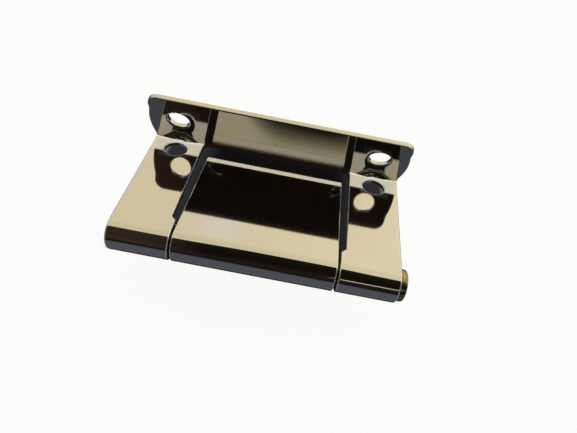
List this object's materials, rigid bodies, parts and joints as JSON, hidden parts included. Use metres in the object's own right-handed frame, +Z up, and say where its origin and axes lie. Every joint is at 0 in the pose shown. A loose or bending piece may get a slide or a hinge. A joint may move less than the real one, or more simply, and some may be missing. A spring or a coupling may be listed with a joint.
{
  "type": "flap hinge",
  "caption": "Folded-sheet flap hinge: outer leaf with windowed plate and upright flange, inner leaf nested in the window, headed pin.",
  "frame": {"origin": "midway between the outer plate's two screw holes, on the plate's upper face", "axes": "+X along the pin towards its head, +Y from the pin to the upright flange, +Z up from the outer plate"},
  "size_m": [0.062, 0.0338, 0.0309],
  "materials": {
    "chrome_plate": "bright plated, light handling marks",
    "pin_brass": "turned, dulled"
  },
  "bodies": {
    "outer": {"outer_leaf": "chrome_plate", "hinge_pin": "pin_brass"},
    "inner": {"inner_leaf": "chrome_plate"}
  },
  "joints": [
    {"name": "leaf_hinge", "type": "hinge", "parent": "outer", "child": "inner", "pos_m": [0, -0.02525, -0.00383], "axis": [1, 0, 0], "range_deg": [-175, 5]}
  ]
}
